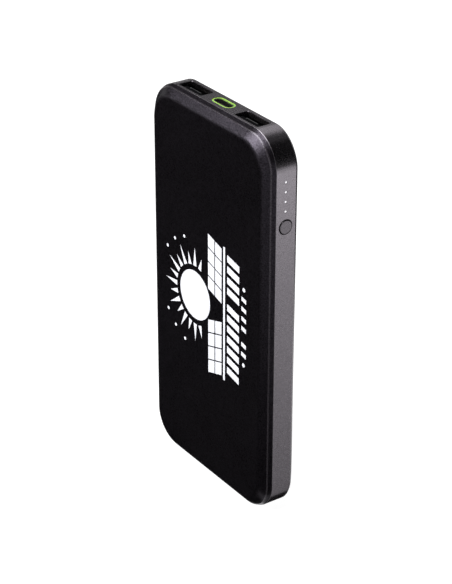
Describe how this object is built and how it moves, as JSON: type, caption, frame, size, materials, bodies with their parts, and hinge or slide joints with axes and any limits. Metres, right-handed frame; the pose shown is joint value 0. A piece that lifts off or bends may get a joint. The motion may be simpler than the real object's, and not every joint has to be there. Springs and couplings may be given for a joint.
{
  "type": "power bank",
  "caption": "Slim rectangular power bank with two full-size USB sockets, a small reversible socket, a row of charge lights and a side status button.",
  "frame": {"origin": "middle of the lower end, with the power bank standing upright", "axes": "+X across the width towards the button, +Y from the front face to the rear cover, +Z along the length to the end with the sockets"},
  "size_m": [0.0682, 0.0142, 0.139],
  "materials": {
    "cover_black": "semi-gloss moulded black",
    "frame_gunmetal": "satin anodised gunmetal",
    "button_gunmetal": "satin gunmetal paint",
    "chassis_plastic": "moulded",
    "socket_steel": "plated sheet",
    "shell_black": "black plated sheet",
    "socket_plastic": "moulded",
    "contact_metal": "gold plated",
    "bezel_green": "gloss lime green",
    "white_plastic": "translucent white",
    "led_body": "moulded lamp",
    "board_green": "solder mask",
    "component_dark": "moulded compound",
    "capacitor_can": "drawn can",
    "ceramic_tan": "ceramic",
    "screw_steel": "zinc plated",
    "cell_foil": "aluminium laminate pouch",
    "tab_nickel": "nickel strip",
    "lead_red": "silicone",
    "lead_black": "silicone",
    "foam_grey": "closed-cell foam",
    "tape_clear": "adhesive film"
  },
  "bodies": {
    "case": {"front_cover": "cover_black", "rear_cover": "cover_black", "side_frame": "frame_gunmetal", "inner_chassis": "chassis_plastic", "usb_a_1_shell": "shell_black", "usb_a_1_insulator": "socket_plastic", "usb_a_1_contacts": "contact_metal", "usb_a_2_shell": "shell_black", "usb_a_2_insulator": "socket_plastic", "usb_a_2_contacts": "contact_metal", "usb_a_1_tongue_plate": "socket_steel", "usb_a_2_tongue_plate": "socket_steel", "usb_c_bezel": "bezel_green", "usb_c_shell": "socket_steel", "usb_c_insulator": "socket_plastic", "usb_c_contacts": "contact_metal", "usb_c_riser": "socket_plastic", "led_light_guide": "white_plastic", "led_1": "led_body", "led_2": "led_body", "led_3": "led_body", "led_4": "led_body", "switch_housing": "component_dark", "switch_dome": "socket_steel", "switch_terminals": "tab_nickel", "main_pcb": "board_green", "pcb_screws": "screw_steel", "boost_inductor": "component_dark", "charge_inductor": "component_dark", "output_capacitor": "capacitor_can", "input_capacitor": "capacitor_can", "power_controller": "component_dark", "port_controller": "component_dark", "indicator_controller": "component_dark", "ceramic_capacitors": "ceramic_tan", "chip_resistors": "component_dark", "battery_cell_1": "cell_foil", "battery_cell_2": "cell_foil", "cell_1_tabs": "tab_nickel", "cell_2_tabs": "tab_nickel", "protection_board": "board_green", "protection_mosfets": "component_dark", "battery_lead_positive": "lead_red", "battery_lead_negative": "lead_black", "thermistor": "component_dark", "cell_adhesive_tape": "tape_clear", "front_foam_pad": "foam_grey", "rear_foam_pad": "foam_grey", "insulation_sheet": "tape_clear"},
    "button": {"status_button": "button_gunmetal"},
    "plunger": {"switch_plunger": "socket_plastic"}
  },
  "joints": [
    {"name": "button_press", "type": "slide", "parent": "case", "child": "button", "axis": [-1, 0, 0], "range_m": [0, 0.00025], "stiffness_N_per_m": 800},
    {"name": "plunger_travel", "type": "slide", "parent": "case", "child": "plunger", "axis": [-1, 0, 0], "range_m": [0, 0.00025]}
  ],
  "couplings": [
    {"joint": "plunger_travel", "follows": "button_press", "ratio": 1}
  ]
}
